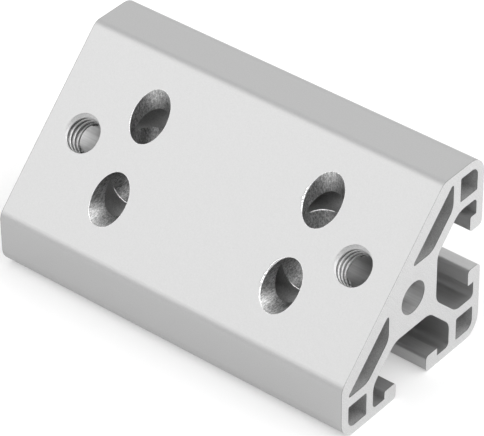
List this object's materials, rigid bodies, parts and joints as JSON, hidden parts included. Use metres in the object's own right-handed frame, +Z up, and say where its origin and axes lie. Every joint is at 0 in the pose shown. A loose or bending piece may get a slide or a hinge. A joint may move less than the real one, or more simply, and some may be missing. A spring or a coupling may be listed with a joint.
{
  "type": "angle bracket",
  "caption": "Cut length of slotted aluminium extrusion with a diagonal face, T-slots in both legs, access holes and tapped holes, for joining frame members at a right angle.",
  "frame": {"origin": "middle of the outer face of leg A, on the middle line of its slot, halfway along the bracket", "axes": "+X along the extrusion; +Y out of leg B's outer face; +Z up, from leg A's outer face towards the tip of leg B; the diagonal face looks to -Y and +Z"},
  "size_m": [0.09, 0.045, 0.045],
  "materials": {
    "anodised_aluminium": "matt natural anodised, sawn ends bare"
  },
  "bodies": {
    "root": {"bracket": "anodised_aluminium"}
  },
  "joints": []
}
